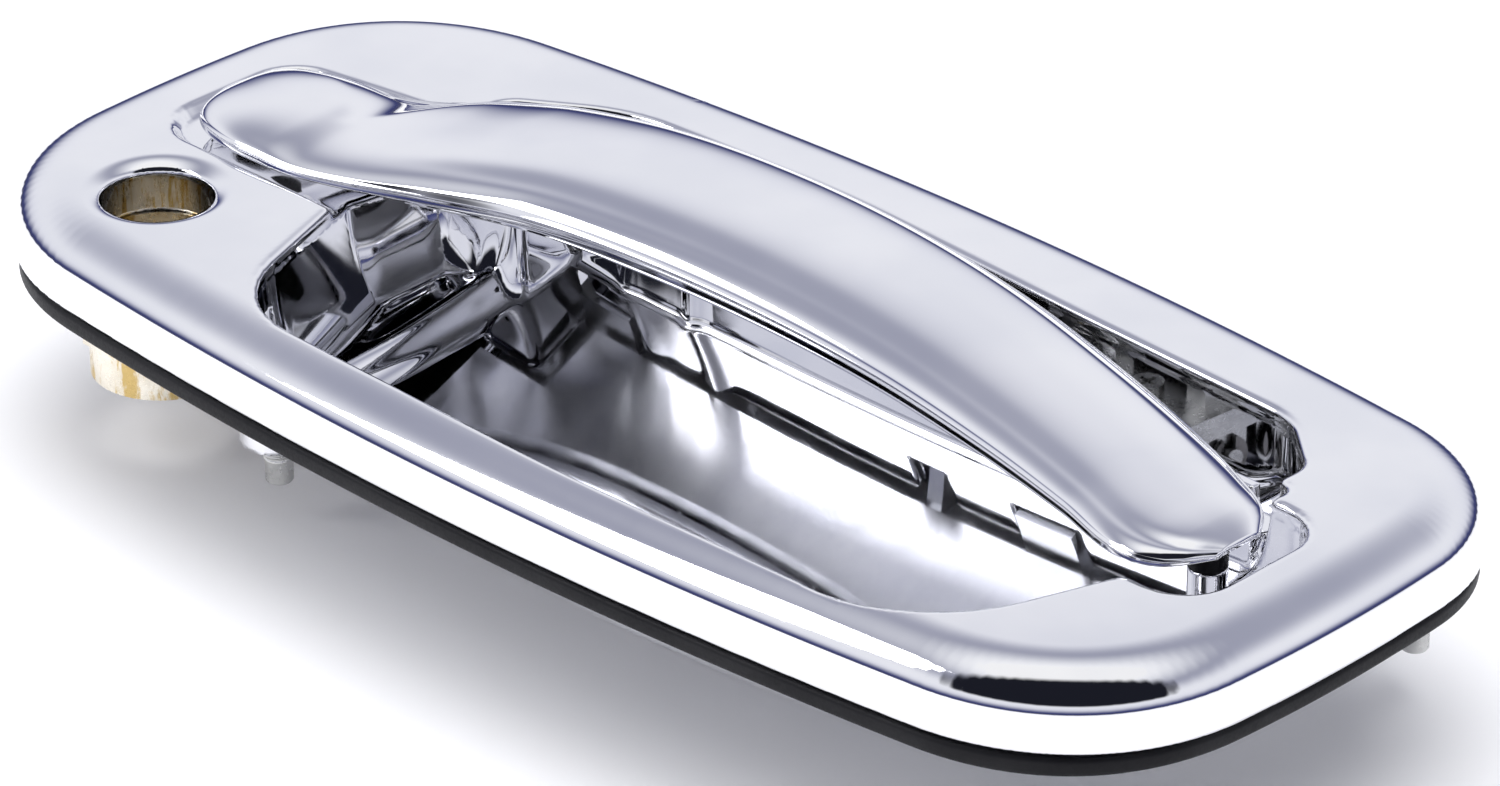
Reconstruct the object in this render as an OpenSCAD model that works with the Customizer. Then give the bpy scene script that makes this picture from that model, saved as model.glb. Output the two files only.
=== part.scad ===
// Exterior car door handle: chromed bezel with a finger recess, a hinged pull paddle, and the
// lever behind it that works the latch rod. It lies face up: +Z points out of the door.
// X runs along the handle, with the lock at -X. The origin is the centre of the door's cut-out,
// on the outer face of the door skin, where the back of the gasket lies.

/* [Bezel] */
// Length between the outline's construction corners
body_l = 240; // [200:1:290]
// Width of the outline's ends
body_w = 98.2; // [82:0.1:118]
// How far the long sides bow outwards
side_bow = 9.2; // [4:0.1:12]
// How far the ends bow outwards
end_bow = 4; // [2:0.1:6]
// Height of the bezel's face above the door skin
face_z = 16.2; // [14:0.1:20]
// Wall of the bezel
wall = 2.2; // [1.6:0.1:2.8]
// Depth of the finger recess below the door skin
recess_depth = 8; // [5:0.5:12]

/* [Gasket] */
// Thickness of the gasket
gasket_t = 3; // [2:0.1:4]
// Width of the gasket
gasket_w = 4.8; // [4:0.1:6]

/* [Lock] */
// Radius of the bore that takes the lock cylinder
lock_bore_r = 8.5; // [7:0.1:9]
// Length of the lock housing
lock_l = 22.7; // [16:0.1:26]

/* [Mounting studs] */
// Radius of the studs
stud_r = 3; // [2.5:0.1:3.5]
// How far the studs reach behind the door skin
stud_reach = 20; // [16:0.5:26]

/* [Paddle] */
// Wall of the paddle's shell
shell_wall = 2; // [1.4:0.1:2.4]
// Height of the paddle's crown over its rim, as a factor
crown_scale = 1; // [0.9:0.05:1.2]
// Gap between the bezel's face and the closed paddle's rim
rim_gap = 0.8; // [0.5:0.1:1.2]

/* [Hinge] */
// Radius of the hinge pin
pin_r = 2; // [1.6:0.1:2.4]
// Distance of the hinge axis from the handle's centre line
hinge_y = 24; // [22:0.5:25]
// Depth of the hinge axis below the bezel's face
hinge_drop = 6.2; // [5.5:0.1:7]

/* [Lever] */
// Distance from the lever's pivot to the paddle's finger
lever_arm = 26.6; // [25:0.1:32]
// Distance from the lever's pivot to the latch rod
rod_arm = 26; // [18:0.5:30]
// Radius of the eye that takes the latch rod
rod_eye_r = 2; // [1.5:0.1:2.4]

/* [Hidden] */
$fn = 48;

// Clearances
running = 0.05;    // a pin or shaft that turns in its hole
seat_gap = 0.02;   // a piece pressed or dropped into its place
side_gap = 0.3;    // between pieces that move past each other

// Heights
hinge_z = face_z - hinge_drop;
rim_z = face_z + rim_gap;
well_floor = 2;
seat_z = face_z - 2;
floor_z = -recess_depth;
bezel_back = gasket_t;

// Places along the handle follow its length, and those on its near side follow its width
stretch = body_l / 240;
near_y = -body_w / 2;
function placed(points) = [for (p = points) [for (k = [0:len(p) - 1]) k == 0 ? p[0] * stretch : p[k]]];

// ---- Curves -------------------------------------------------------------------------------

function side_point(a, b, bow, t) =
    let (d = b - a, n = [d.y, -d.x] / norm(d))
    a + d * t + n * bow * 4 * t * (1 - t);

function side_slope(a, b, bow, t) =
    let (d = b - a, n = [d.y, -d.x] / norm(d), s = d + n * bow * 4 * (1 - 2 * t))
    s / norm(s);

function bezier(p0, p1, p2, p3, t) =
    p0 * pow(1 - t, 3) + p1 * 3 * t * pow(1 - t, 2) + p2 * 3 * t * t * (1 - t) + p3 * pow(t, 3);

// The bezel's outline: four bowed sides joined by soft corners.
corners = [
    [-body_l / 2, -body_w / 2], [body_l / 2, -body_w / 2],
    [body_l / 2, body_w / 2 + 1.2], [-body_l / 2, body_w / 2 - 1.2]
];
bows = [side_bow, end_bow, side_bow, end_bow];
trims = [31, 30, 25, 34];
side_steps = 6;
corner_steps = 6;

function trim_start(i) = trims[i] / norm(corners[(i + 1) % 4] - corners[i]);
function trim_end(i) = 1 - trims[(i + 1) % 4] / norm(corners[(i + 1) % 4] - corners[i]);

outline = [
    for (i = [0:3])
        let (
            h = (i + 3) % 4,
            j = (i + 1) % 4,
            p0 = side_point(corners[h], corners[i], bows[h], trim_end(h)),
            p3 = side_point(corners[i], corners[j], bows[i], trim_start(i)),
            reach = norm(p3 - p0) * 0.39,
            p1 = p0 + reach * side_slope(corners[h], corners[i], bows[h], trim_end(h)),
            p2 = p3 - reach * side_slope(corners[i], corners[j], bows[i], trim_start(i))
        )
        each concat(
            [for (k = [0:corner_steps - 1]) bezier(p0, p1, p2, p3, k / corner_steps)],
            [for (k = [0:side_steps - 1])
                let (t = trim_start(i) + (trim_end(i) - trim_start(i)) * k / side_steps)
                side_point(corners[i], corners[j], bows[i], t)]
        )
];

// A closed outline moved inwards by d.
function inset(points, d) = [
    for (i = [0:len(points) - 1])
        let (
            a = points[(i + len(points) - 1) % len(points)],
            b = points[(i + 1) % len(points)],
            s = (b - a) / norm(b - a)
        )
        points[i] + d * [-s.y, s.x]
];

// A polygon of [x, y, radius] corners with each corner rounded to an arc.
arc_steps = 4;
function rounded(c) = [
    for (i = [0:len(c) - 1])
        let (
            p = [c[i].x, c[i].y],
            a = c[(i + len(c) - 1) % len(c)],
            b = c[(i + 1) % len(c)],
            u = ([a.x, a.y] - p) / norm([a.x, a.y] - p),
            v = ([b.x, b.y] - p) / norm([b.x, b.y] - p),
            half = acos(u * v) / 2,
            bisector = (u + v) / norm(u + v),
            centre = p + bisector * c[i].z / sin(half),
            from = p + u * c[i].z / tan(half) - centre,
            to = p + v * c[i].z / tan(half) - centre,
            sweep = 180 - 2 * half,
            turn = from.x * to.y - from.y * to.x > 0 ? 1 : -1
        )
        for (k = [0:arc_steps])
            let (w = turn * sweep * k / arc_steps)
            centre + [from.x * cos(w) - from.y * sin(w), from.x * sin(w) + from.y * cos(w)]
];

// Rounded corners, moved outwards by d.
function grown(c, d) = inset(rounded(c), -d);

// Smooth value at x through the stations' column col.
function station_below(table, x) = max([0, for (i = [0:len(table) - 2]) if (table[i][0] <= x) i]);
function tangent(table, i, col) =
    let (a = max(i - 1, 0), b = min(i + 1, len(table) - 1))
    (table[b][col] - table[a][col]) / (table[b][0] - table[a][0]);
function along(table, x, col) =
    let (
        i = min(station_below(table, x), len(table) - 2),
        w = table[i + 1][0] - table[i][0],
        t = (x - table[i][0]) / w,
        p = table[i][col],
        q = table[i + 1][col]
    )
    p * (2 * pow(t, 3) - 3 * t * t + 1) + tangent(table, i, col) * w * (pow(t, 3) - 2 * t * t + t)
    + q * (3 * t * t - 2 * pow(t, 3)) + tangent(table, i + 1, col) * w * (pow(t, 3) - t * t);

// ---- Solids from rings --------------------------------------------------------------------

// A closed solid through rings with equal numbers of points, which run anticlockwise as seen
// from the end that the rings advance to.
module loft(rings) {
    n = len(rings[0]);
    m = len(rings);
    polyhedron(
        points = [for (r = rings) each r],
        faces = concat(
            [[for (k = [0:n - 1]) k]],
            [for (i = [0:m - 2], k = [0:n - 1])
                each [
                    [i * n + k, (i + 1) * n + (k + 1) % n, i * n + (k + 1) % n],
                    [i * n + k, (i + 1) * n + k, (i + 1) * n + (k + 1) % n]
                ]],
            [[for (k = [n - 1:-1:0]) (m - 1) * n + k]]
        ),
        convexity = 8
    );
}

function raised(points, z) = [for (p = points) [p.x, p.y, z]];

// A round wire swept along a path, with its section kept square to the path.
wire_sides = 8;
module wire(path, r) {
    last = len(path) - 1;
    loft([
        for (i = [0:last])
            let (
                s = path[min(i + 1, last)] - path[max(i - 1, 0)],
                d = s / norm(s),
                side = abs(d.x) < 0.9 ? [1, 0, 0] : [0, 1, 0],
                u = cross(d, side) / norm(cross(d, side)),
                v = cross(d, u)
            )
            [for (k = [0:wire_sides - 1])
                path[i] + r * (u * cos(360 * k / wire_sides) + v * sin(360 * k / wire_sides))]
    ]);
}

module along_x(x, y, z) translate([x, y, z]) rotate([0, 90, 0]) children();

module tube(r_out, r_in, h) {
    difference() {
        cylinder(r = r_out, h = h);
        translate([0, 0, -1]) cylinder(r = r_in, h = h + 2);
    }
}

// A spring clip: a ring with a gap.
module e_clip(r_in, r_out, t, gap) {
    difference() {
        cylinder(r = r_out, h = t);
        translate([0, 0, -1]) cylinder(r = r_in, h = t + 2);
        translate([0, -gap / 2, -1]) cube([r_out + 1, gap, t + 2]);
    }
}

// A pan head screw that points up (+Z), with the underside of its head at the origin.
module screw(shank_r, shank_l, head_r, head_h) {
    union() {
        cylinder(r = shank_r, h = shank_l);
        difference() {
            translate([0, 0, -head_h]) cylinder(r = head_r, h = head_h);
            for (a = [0, 90])
                rotate(a) translate([-head_r * 0.6, -0.35, -head_h - 0.1]) cube([head_r * 1.2, 0.7, 0.9]);
        }
    }
}

// ---- Bezel --------------------------------------------------------------------------------

// [inset, height] of the rolled rim, from the back edge to the face
rim_profile = [
    [0.6, bezel_back], [0, bezel_back + 2], [0, bezel_back + 5.5], [1, face_z - 4.2],
    [3, face_z - 1.7], [6, face_z - 0.4], [10, face_z]
];
inner_profile = [
    [wall + 0.4, bezel_back - 1], [wall + 0.4, bezel_back + 5], [wall + 1.4, face_z - 5.2],
    [wall + 3.8, face_z - wall - 0.7], [wall + 9, face_z - wall]
];

module rim_solid(profile) loft([for (p = profile) raised(inset(outline, p[0]), p[1])]);

// The finger recess: corners at its lip and at its floor
recess_lip = placed([
    [-68, -12, 3], [-56, near_y + 1.1, 20], [15, near_y - 1.1, 400], [86, near_y + 1.1, 26], [98, -14, 4],
    [98, 20, 3], [-60, 20, 3]
]);
recess_floor = placed([
    [-55, -12, 6], [-50, near_y + 11.1, 12], [15, near_y + 5.1, 300], [78, near_y + 9.1, 22], [90, -12, 8],
    [90, 20, 3], [-42, 20, 4]
]);
recess_rings = 6;

// The recess as a solid, from the floor up to the lip, grown outwards by a wall
module recess(top, bottom, grow) {
    loft([
        for (k = [recess_rings:-1:0])
            let (a = 90 * k / recess_rings, t = 1 - cos(a))
            raised(grown(recess_lip * (1 - t) + recess_floor * t, grow), top + (bottom - top) * sin(a))
    ]);
}

// The hinge well under the paddle, and the pocket past the paddle's free end
well = placed([
    [-73.5, 17, 2], [95, 17, 2], [95, 26, 6], [84, 35.6, 12], [40, 37.8, 200], [-12, 41.2, 200],
    [-56, 38.6, 30], [-73.5, 27, 6]
]);
end_pocket = placed([[94, -16, 4], [109.5, -16, 8], [109.5, 14.5, 8], [94, 14.5, 2]]);

// The seat under the paddle's bulb
bulb_seat = placed([[-108, -17, 9], [-64, -17, 3], [-64, 19, 3], [-82, 17, 8], [-108, 13, 8]]);

lock_x = -90 * stretch;
lock_y = near_y + 17.1;
dish_r = 20;
dish_depth = 3.3;
lock_flange_r = lock_bore_r + 5;
lock_top = face_z - 8.5;
lock_tube_r = lock_bore_r + 3;
lock_flange_t = 3;
lock_lug_w = 8;
lock_groove_r = lock_bore_r + 2.4;
lock_groove_t = 1.2;
lock_groove_z = lock_top - 14;

stud_places = [
    [recess_floor[1].x - 6.5, recess_floor[1].y - 0.5], [body_l / 2 - 18, body_w / 2 - 4.6]
];
stud_root = [floor_z - 1.5, face_z - 6.2];
stud_head_r = stud_r + 0.6;
stud_dog_l = 4.5;
stud_boss_r = stud_r + 3;
stud_boss_low = [floor_z - 4.5, bezel_back + 0.1];
stud_boss_high = [floor_z - wall / 2, face_z - 4.5];
boss_inset = 1.2;

// Hinge: the paddle's ears turn between pairs of lugs
ear_centres = [-44 * stretch, 48 * stretch];
ear_w = 11.4;
lug_t = 4;
lug_r = pin_r + 2.4;
bracket_x0 = ear_centres[0] - 13;
bracket_x1 = ear_centres[1] + 13;
bracket_y0 = hinge_y - 4.5;
bracket_y1 = hinge_y + 10;
bracket_t = 2;
bracket_top = well_floor + bracket_t;
bracket_screw_r = 1.5;
bracket_screw_places = placed([[-44, 31], [-26, 31], [34, 31], [48, 31]]);
screw_boss_low = -7;
stiffener_places = placed([[-58, 31], [72, 27]]);

// Return spring: a leg on the bracket, coils round the pin, and a leg under the paddle's frame
spring_wire_r = 0.75;
spring_r = 4.4;
spring_x0 = -15 * stretch;
spring_pitch = 1.9;
spring_turns = 12.5;
spring_leg = 9;
spring_reach_y = 4.8;
spring_reach_x = 8;

// The wall that hides the hinge from the recess, open where the paddle's ears and finger pass
curtain_x0 = -46 * stretch;
curtain_x1 = 93 * stretch;
curtain_t = 1.8;
curtain_y = min(bracket_y0, hinge_y - spring_r - spring_wire_r) - side_gap - curtain_t;
curtain_top = face_z - 1.6;
curtain_notch_z = hinge_z - 0.6;

// The finger on the paddle's frame
finger_x = 24 * stretch;
finger_w = 3;
finger_slot = finger_w / 2 + 2;
finger_lean = 36;
finger_reach = 29.5;
finger_tip = [
    hinge_y + finger_reach * sin(finger_lean), hinge_z - finger_reach * cos(finger_lean)
];
finger_ball_r = 3;
slot_y0 = hinge_y - 1.6;
slot_y1 = hinge_y + (hinge_z - well_floor + wall) * tan(finger_lean) + 3.8;

// The lever behind the bezel
pivot_gap = 6;
pivot_x = finger_x - lever_arm;
pivot_y = finger_tip[0] - pivot_gap;
pivot_flange_z = hinge_z - 26;
lever_top = hinge_z - 30;
lever_t = 2;
pivot_r = 3;
pivot_screw_places = [[pivot_x - 9, hinge_y + 6], [pivot_x + 9, hinge_y + 6]];

bumper_r = 3;
bumper_places = placed([[-92, -4], [101, -2]]);
bumper_base = [seat_z, seat_z - 1];

// Screws: the pan heads, and what the bosses add round them
pan_r = 2.6;
pan_h = 1.4;
boss_wall = 1.8;
// How far the solids under the face stop short of it
skin = 0.8;

// A moulded boss, with draft towards its free end
draft = 0.03;
module boss(place, r, low, high)
    translate([place.x, place.y, low]) cylinder(r1 = r, r2 = r + (high - low) * draft, h = high - low);

// The walls and floor of a pocket that is sunk into the face
module tray(shape, floor_height)
    translate([0, 0, floor_height - wall])
        linear_extrude(face_z - skin - floor_height + wall) polygon(grown(shape, wall));

module bezel_holes() {
    // Lock bore, with the dished seat round it
    translate([lock_x, lock_y, face_z + dish_r - dish_depth]) sphere(r = dish_r);
    translate([lock_x, lock_y, lock_top - 1]) cylinder(r = lock_bore_r + side_gap, h = face_z);
    // Slot for the paddle's finger
    translate([finger_x - finger_slot, slot_y0, -wall - 1])
        cube([2 * finger_slot, slot_y1 - slot_y0, wall + well_floor + 2]);
    // Screw holes
    for (p = concat(bracket_screw_places, pivot_screw_places))
        translate([p.x, p.y, screw_boss_low - 1])
            cylinder(r = bracket_screw_r, h = well_floor - screw_boss_low + 2);
    // Stud sockets
    for (i = [0, 1])
        translate([stud_places[i].x, stud_places[i].y, stud_boss_low[i] - 1])
            cylinder(r = stud_head_r + seat_gap, h = stud_root[i] - stud_boss_low[i] + 1, $fn = 48);
}

module curtain_wall()
    translate([curtain_x0, curtain_y, floor_z - wall / 2])
        cube([curtain_x1 - curtain_x0, curtain_t, curtain_top - floor_z + wall / 2]);

module curtain() difference() {
    ear_notch = ear_w / 2 + 1;
    curtain_wall();
    for (notch = [[ear_centres[0], ear_notch], [ear_centres[1], ear_notch], [finger_x, finger_slot]])
        translate([notch[0] - notch[1], curtain_y - 1, curtain_notch_z])
            cube([2 * notch[1], curtain_t + 2, curtain_top]);
}

// The post in the end pocket that holds the second bumper
module bumper_post()
    translate([bumper_places[1].x, bumper_places[1].y, well_floor - wall / 2])
        cylinder(r = bumper_r, h = bumper_base[1] - well_floor + wall / 2);

module bezel($fn = 24) color("gainsboro") {
    bezel_casting();
    curtain();
    bumper_post();
}

module bezel_casting($fn = 24) difference() {
    union() {
        difference() {
            rim_solid(rim_profile);
            rim_solid(inner_profile);
        }
        intersection() {
            recess(face_z - 0.6, floor_z - wall, wall);
            translate([-body_l, -body_w, floor_z - wall])
                cube([2 * body_l, 2 * body_w, face_z - skin - floor_z + wall]);
        }
        tray(well, well_floor);
        tray(end_pocket, well_floor);
        tray(bulb_seat, seat_z);
        boss([lock_x, lock_y], lock_flange_r, lock_top, face_z - skin);
        intersection() {
            for (i = [0, 1]) boss(stud_places[i], stud_boss_r, stud_boss_low[i], stud_boss_high[i]);
            translate([0, 0, -face_z]) linear_extrude(2 * face_z) polygon(inset(outline, boss_inset));
        }
        for (p = concat(bracket_screw_places, stiffener_places))
            boss(p, bracket_screw_r + boss_wall, screw_boss_low, well_floor - wall / 2);
    }
    recess(face_z + 1, floor_z, 0);
    translate([0, 0, well_floor]) linear_extrude(face_z) polygon(rounded(well));
    translate([0, 0, well_floor]) linear_extrude(face_z) polygon(rounded(end_pocket));
    translate([0, 0, seat_z]) linear_extrude(face_z) polygon(rounded(bulb_seat));
    bezel_holes();
}

// ---- Housing pieces -----------------------------------------------------------------------

gasket_inset = 0.9;
notch_r = stud_r + 1.4;
notch_l = 12;
notch_mouth = 1.6 * notch_r;

// A band under the rim, notched from its inner edge for the stud that passes it, and cut back
// where the recess comes near
module gasket() color("black") difference() {
    linear_extrude(gasket_t) difference() {
        polygon(inset(outline, gasket_inset));
        polygon(inset(outline, gasket_inset + gasket_w));
        polygon(grown(recess_lip, wall + side_gap));
    }
    translate([stud_places[1].x, stud_places[1].y, -1]) {
        cylinder(r = notch_r, h = gasket_t + 2);
        rotate(-135) translate([0, -notch_mouth / 2, 0]) cube([notch_l, notch_mouth, gasket_t + 2]);
    }
}

// Two studs, each with a knurled head moulded into its boss and a smooth dog point
module mounting_studs() color("silver")
    for (i = [0, 1])
        translate([stud_places[i].x, stud_places[i].y, 0]) {
            translate([0, 0, stud_boss_low[i]])
                cylinder(r = stud_head_r, h = stud_root[i] - stud_boss_low[i]);
            translate([0, 0, stud_dog_l - stud_reach])
                cylinder(r = stud_r, h = stud_boss_low[i] - stud_dog_l + stud_reach);
            translate([0, 0, -stud_reach]) cylinder(r = stud_r * 0.75, h = stud_dog_l);
        }

module lock_housing() color("tan") difference() {
    union() {
        translate([lock_x, lock_y, lock_top - lock_l]) cylinder(r = lock_tube_r, h = lock_l - seat_gap);
        translate([lock_x, lock_y, lock_top - lock_flange_t])
            cylinder(r = lock_flange_r, h = lock_flange_t - seat_gap);
        translate([lock_x - lock_tube_r - 3, lock_y - lock_lug_w / 2, lock_top - lock_l])
            cube([lock_tube_r, lock_lug_w, lock_l - lock_flange_t]);
    }
    translate([lock_x, lock_y, lock_top - lock_l - 1]) cylinder(r = lock_bore_r, h = lock_l + 2);
    translate([lock_x, lock_y, lock_groove_z]) tube(lock_tube_r + 1, lock_groove_r, lock_groove_t);
}

module lock_clip() color("dimgray")
    translate([lock_x, lock_y, lock_groove_z + 0.1]) rotate(180)
        e_clip(lock_groove_r + seat_gap, lock_groove_r + 2.2, lock_groove_t - 0.2, 14);

module hinge_lug(x) translate([x, 0, 0]) difference() {
    union() {
        translate([0, hinge_y - lug_r, bracket_top - 0.5])
            cube([lug_t, 2 * lug_r, hinge_z - bracket_top + 0.5]);
        along_x(0, hinge_y, hinge_z) cylinder(r = lug_r, h = lug_t);
    }
    along_x(-1, hinge_y, hinge_z) cylinder(r = pin_r + seat_gap, h = lug_t + 2);
}

module hinge_bracket() color("lightslategray") difference() {
    union() {
        translate([bracket_x0, bracket_y0, well_floor])
            cube([bracket_x1 - bracket_x0, bracket_y1 - bracket_y0, bracket_t]);
        for (c = ear_centres) {
            hinge_lug(c - ear_w / 2 - side_gap - lug_t);
            hinge_lug(c + ear_w / 2 + side_gap);
        }
    }
    translate([finger_x - finger_slot, slot_y0, well_floor - 1])
        cube([2 * finger_slot, bracket_y1 - slot_y0 + 1, bracket_t + 2]);
    for (p = bracket_screw_places)
        translate([p.x, p.y, well_floor - 1]) cylinder(r = bracket_screw_r + seat_gap, h = bracket_t + 2);
}

module hinge_bracket_screws() color("silver")
    for (p = bracket_screw_places)
        translate([p.x, p.y, bracket_top]) rotate([180, 0, 0])
            screw(bracket_screw_r - seat_gap, bracket_top - screw_boss_low - 0.5, pan_r, pan_h);

pin_x0 = ear_centres[0] - ear_w / 2 - side_gap - lug_t - 2;
pin_x1 = ear_centres[1] + ear_w / 2 + side_gap + lug_t + 2;
clip_t = 0.8;
groove_r = pin_r - 0.5;
clip_xs = [pin_x0 + 0.9, pin_x1 - 0.9 - clip_t];

module hinge_pin() color("silver") difference() {
    along_x(pin_x0, hinge_y, hinge_z) cylinder(r = pin_r, h = pin_x1 - pin_x0);
    for (x = clip_xs)
        along_x(x - seat_gap, hinge_y, hinge_z) tube(pin_r + 1, groove_r, clip_t + 2 * seat_gap);
}

module pin_clips() color("dimgray")
    for (x = clip_xs) along_x(x, hinge_y, hinge_z) e_clip(groove_r + seat_gap, pin_r + 1.8, clip_t, 2.4);

coil_steps = 12;

function coil_point(i) =
    let (a = 360 * i / coil_steps)
    [
        spring_x0 + spring_pitch * i / coil_steps,
        hinge_y - spring_r * sin(a),
        hinge_z - spring_r * cos(a)
    ];
spring_last = coil_point(spring_turns * coil_steps);

module return_spring() color("dimgray")
    wire(
        concat(
            [[spring_x0, hinge_y + spring_leg, bracket_top + spring_wire_r + running]],
            [for (i = [0:spring_turns * coil_steps]) coil_point(i)],
            [
                spring_last + [0, spring_reach_y - 1.2, 0],
                spring_last + [0.4, spring_reach_y - 0.4, 0],
                spring_last + [1.2, spring_reach_y, 0],
                spring_last + [spring_reach_x, spring_reach_y, 0]
            ]
        ),
        spring_wire_r
    );

// The bracket that hangs the lever: a plate under the well, a web, and a flange for the pin
pivot_half = 9;
pivot_plate_z = well_floor - wall - bracket_t;
pivot_web_y = pivot_y + 7;
pivot_near_y = hinge_y + 2;

module pivot_bracket() color("lightslategray") difference() {
    union() {
        translate([pivot_x - pivot_half - 4, pivot_near_y, pivot_plate_z])
            cube([2 * pivot_half + 8, pivot_web_y + bracket_t - pivot_near_y, bracket_t]);
        translate([pivot_x - pivot_half, pivot_web_y, pivot_flange_z])
            cube([2 * pivot_half, bracket_t, pivot_plate_z + bracket_t - pivot_flange_z]);
        translate([pivot_x - pivot_half, pivot_near_y + 2, pivot_flange_z])
            cube([2 * pivot_half, pivot_web_y + bracket_t - pivot_near_y - 2, bracket_t]);
    }
    translate([pivot_x, pivot_y, pivot_flange_z - 1]) cylinder(r = pivot_r + seat_gap, h = bracket_t + 2);
    for (p = pivot_screw_places)
        translate([p.x, p.y, pivot_plate_z - 1]) cylinder(r = bracket_screw_r + seat_gap, h = bracket_t + 2);
}

module pivot_bracket_screws() color("silver")
    for (p = pivot_screw_places)
        translate([p.x, p.y, pivot_plate_z])
            screw(bracket_screw_r - seat_gap, wall + bracket_t - 0.2, pan_r, pan_h);

lever_pin_end = lever_top - lever_t - 3.4;
lever_groove_r = pivot_r - 0.6;
pin_head_t = 1.4;

module lever_pin() color("silver") difference() {
    union() {
        translate([pivot_x, pivot_y, lever_pin_end])
            cylinder(r = pivot_r, h = pivot_flange_z + bracket_t - lever_pin_end);
        translate([pivot_x, pivot_y, pivot_flange_z + bracket_t]) cylinder(r = pivot_r + 1.6, h = pin_head_t);
    }
    translate([pivot_x, pivot_y, lever_pin_end + 1]) tube(pivot_r + 1, lever_groove_r, clip_t + 2 * seat_gap);
}

module lever_clip() color("dimgray")
    translate([pivot_x, pivot_y, lever_pin_end + 1 + seat_gap])
        e_clip(lever_groove_r + seat_gap, pivot_r + 2, clip_t, 3);

// Light spring that keeps the lever against the paddle's finger
lever_spring_r = pivot_r + 1.9;
lever_spring_wire_r = 0.45;
lever_spring_turns = 2.25;
lever_spring_z = lever_top + lever_spring_wire_r + 0.15;

module lever_spring() color("dimgray")
    wire(
        concat(
            [[pivot_x + lever_spring_r, pivot_y + 6.4, lever_spring_z]],
            [for (i = [0:lever_spring_turns * coil_steps])
                let (a = 360 * i / coil_steps)
                [
                    pivot_x + lever_spring_r * cos(a),
                    pivot_y - lever_spring_r * sin(a),
                    lever_spring_z + 2.45 * lever_spring_wire_r * i / coil_steps
                ]]
        ),
        lever_spring_wire_r
    );

module paddle_bumpers() color("black")
    for (i = [0, 1])
        translate([bumper_places[i].x, bumper_places[i].y, bumper_base[i]])
            cylinder(r = bumper_r, h = rim_z - side_gap - bumper_base[i]);

// ---- Paddle -------------------------------------------------------------------------------

// [x, near edge, far edge, crown height over the rim]
paddle_stations = placed([
    [-105.5, -5, 2, 1.2], [-102, -12, 8.5, 3], [-94, -15.8, 12, 4.2], [-84, -16.2, 14, 4.1],
    [-77, -15.6, 18, 3.4], [-68, -13, 25.6, 3.9], [-56, -8.6, 31.6, 5.3], [-38, -3, 35.4, 6.8],
    [-15, -0.6, 36.8, 7.6], [10, -0.4, 35.8, 7.6], [35, -2.2, 32, 7], [60, -6.2, 25.6, 5.8],
    [80, -10.6, 19.2, 4.6], [94, -14.4, 13.6, 3.6], [101.5, -12, 9.5, 2.8], [105.5, -5, 4, 1.4]
]);
function near_edge(x) = along(paddle_stations, x, 1);
function far_edge(x) = along(paddle_stations, x, 2);
function crown(x) = crown_scale * along(paddle_stations, x, 3);

ring_steps = 14;
roundness = 2.6;
paddle_x0 = paddle_stations[0][0];
paddle_x1 = paddle_stations[len(paddle_stations) - 1][0];
paddle_xs = [
    for (i = [0:len(paddle_stations) - 2], k = [0, 0.5])
        let (a = paddle_stations[i][0], b = paddle_stations[i + 1][0])
        a + (b - a) * k,
    paddle_x1
];

// Half an oval over the rim, from the far edge to the near edge, moved inwards by d
function section(x, d, lift) =
    let (
        mid = (near_edge(x) + far_edge(x)) / 2,
        half = (far_edge(x) - near_edge(x)) / 2 - d,
        h = max(crown(x) - lift, 0)
    )
    [for (k = [0:ring_steps])
        let (a = 180 * k / ring_steps, c = cos(a), s = sin(a))
        [x, mid + half * sign(c) * pow(abs(c), 2 / roundness), rim_z + h * pow(max(s, 0), 2 / roundness)]];

module paddle_skin() {
    last = len(paddle_xs) - 1;
    loft([
        for (i = [0:last])
            let (
                x = paddle_xs[i],
                end = i == 0 || i == last,
                inner = section(x, end ? 0.8 : shell_wall, end ? 100 : shell_wall)
            )
            concat(section(x, 0, 0), [for (k = [ring_steps:-1:0]) inner[k]])
    ]);
}

frame_x0 = ear_centres[0] - 14;
frame_x1 = ear_centres[1] + 12;
frame_y0 = 6;
frame_y1 = hinge_y - 5;
frame_low = rim_z + 0.2;
frame_t = 2.2;
frame_screw_places = [
    [frame_x0 + 6, 10], [-20 * stretch, 10], [8 * stretch, 10], [frame_x1 - 4, 10]
];
frame_screw_r = 1.4;
screw_head_r = 2.6;

function post_top(p) = rim_z + crown(p.x) - shell_wall / 2;

module paddle_shell($fn = 24) color("gainsboro") difference() {
    union() {
        paddle_skin();
        for (p = frame_screw_places, rib = [0, 1])
            hull() {
                boss(p, frame_screw_r + 1.2, frame_low + frame_t + rib, post_top(p));
                translate([p.x - 0.6, p.y - 5 * rib, post_top(p) - 0.2]) cube([1.2, 5 * rib + 1, 0.1]);
            }
    }
    for (p = frame_screw_places)
        translate([p.x, p.y, frame_low]) cylinder(r = frame_screw_r, h = post_top(p) - frame_low - 0.6);
}

liner_t = 1.8;
liner_skin = 0.5;
liner_gap = 2.5;
liner_far_y = 15.2;
liner_left_y = 5;
liner_step_x = -46 * stretch;
liner_xs = concat(
    [liner_step_x - 14, liner_step_x - 8, liner_step_x - 0.1, liner_step_x],
    [for (x = [-40:8:88]) x * stretch]
);
function liner_far(x) = x < liner_step_x ? liner_left_y : min(liner_far_y, far_edge(x) - liner_gap);

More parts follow.
